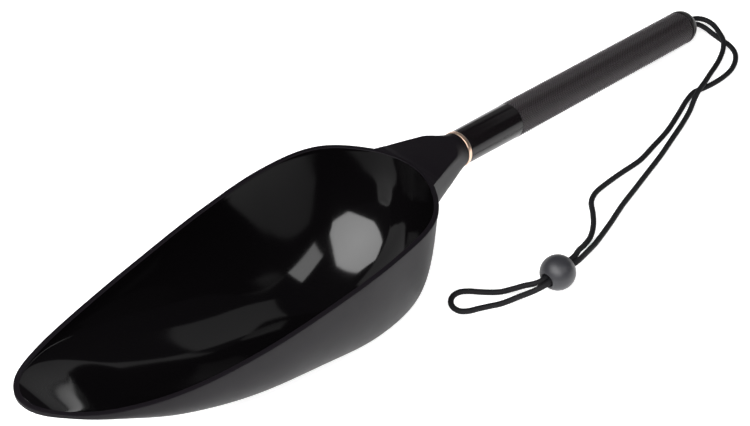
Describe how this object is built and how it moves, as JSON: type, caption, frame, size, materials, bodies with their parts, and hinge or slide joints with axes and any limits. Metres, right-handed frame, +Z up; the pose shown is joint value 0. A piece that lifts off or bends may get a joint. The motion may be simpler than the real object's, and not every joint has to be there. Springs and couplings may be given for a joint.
{
  "type": "hand scoop with screw-in handle",
  "caption": "Deep moulded hand scoop with a pointed lip, a knurled metal handle that screws into its neck, and a wrist lanyard with a sliding bead.",
  "frame": {"origin": "on the floor under the middle of the scoop and its handle, without the lanyard", "axes": "+X from the tip of the bowl towards the butt of the handle, +Z up"},
  "size_m": [0.6321, 0.1615, 0.127],
  "materials": {
    "bowl_plastic": "gloss inside, fine matt texture outside, moulded black nylon",
    "insert_brass": "machined",
    "ring_copper": null,
    "stud_steel": "zinc plated, threaded",
    "plug_aluminium": "machined",
    "handle_anodised": "black anodised, bright at the front, diamond knurled grip",
    "cap_anodised": "black anodised, satin",
    "cord_braid": "braided black polyester",
    "bead_plastic": "satin dark grey"
  },
  "bodies": {
    "scoop": {"scoop_bowl": "bowl_plastic", "threaded_insert": "insert_brass"},
    "collar": {"collar_ring": "ring_copper"},
    "handle": {"handle_tube": "handle_anodised", "front_plug": "plug_aluminium", "threaded_stud": "stud_steel", "butt_cap": "cap_anodised", "lanyard_cord": "cord_braid", "lanyard_knot": "cord_braid"},
    "bead": {"cord_bead": "bead_plastic"}
  },
  "joints": [
    {"name": "collar_slide", "type": "slide", "parent": "scoop", "child": "collar", "axis": [0.9789, 0, -0.2043], "range_m": [0, 0.01275]},
    {"name": "handle_turn", "type": "hinge", "parent": "collar", "child": "handle", "pos_m": [0.04083, 0, 0.06646], "axis": [0.9789, 0, -0.2043], "range_deg": [0, 3600]},
    {"name": "bead_slide", "type": "slide", "parent": "handle", "child": "bead", "axis": [0.9976, -0.0698, 0], "range_m": [0, 0.005]}
  ],
  "couplings": [
    {"joint": "collar_slide", "follows": "handle_turn", "m_per_rad": 0.00020213}
  ]
}
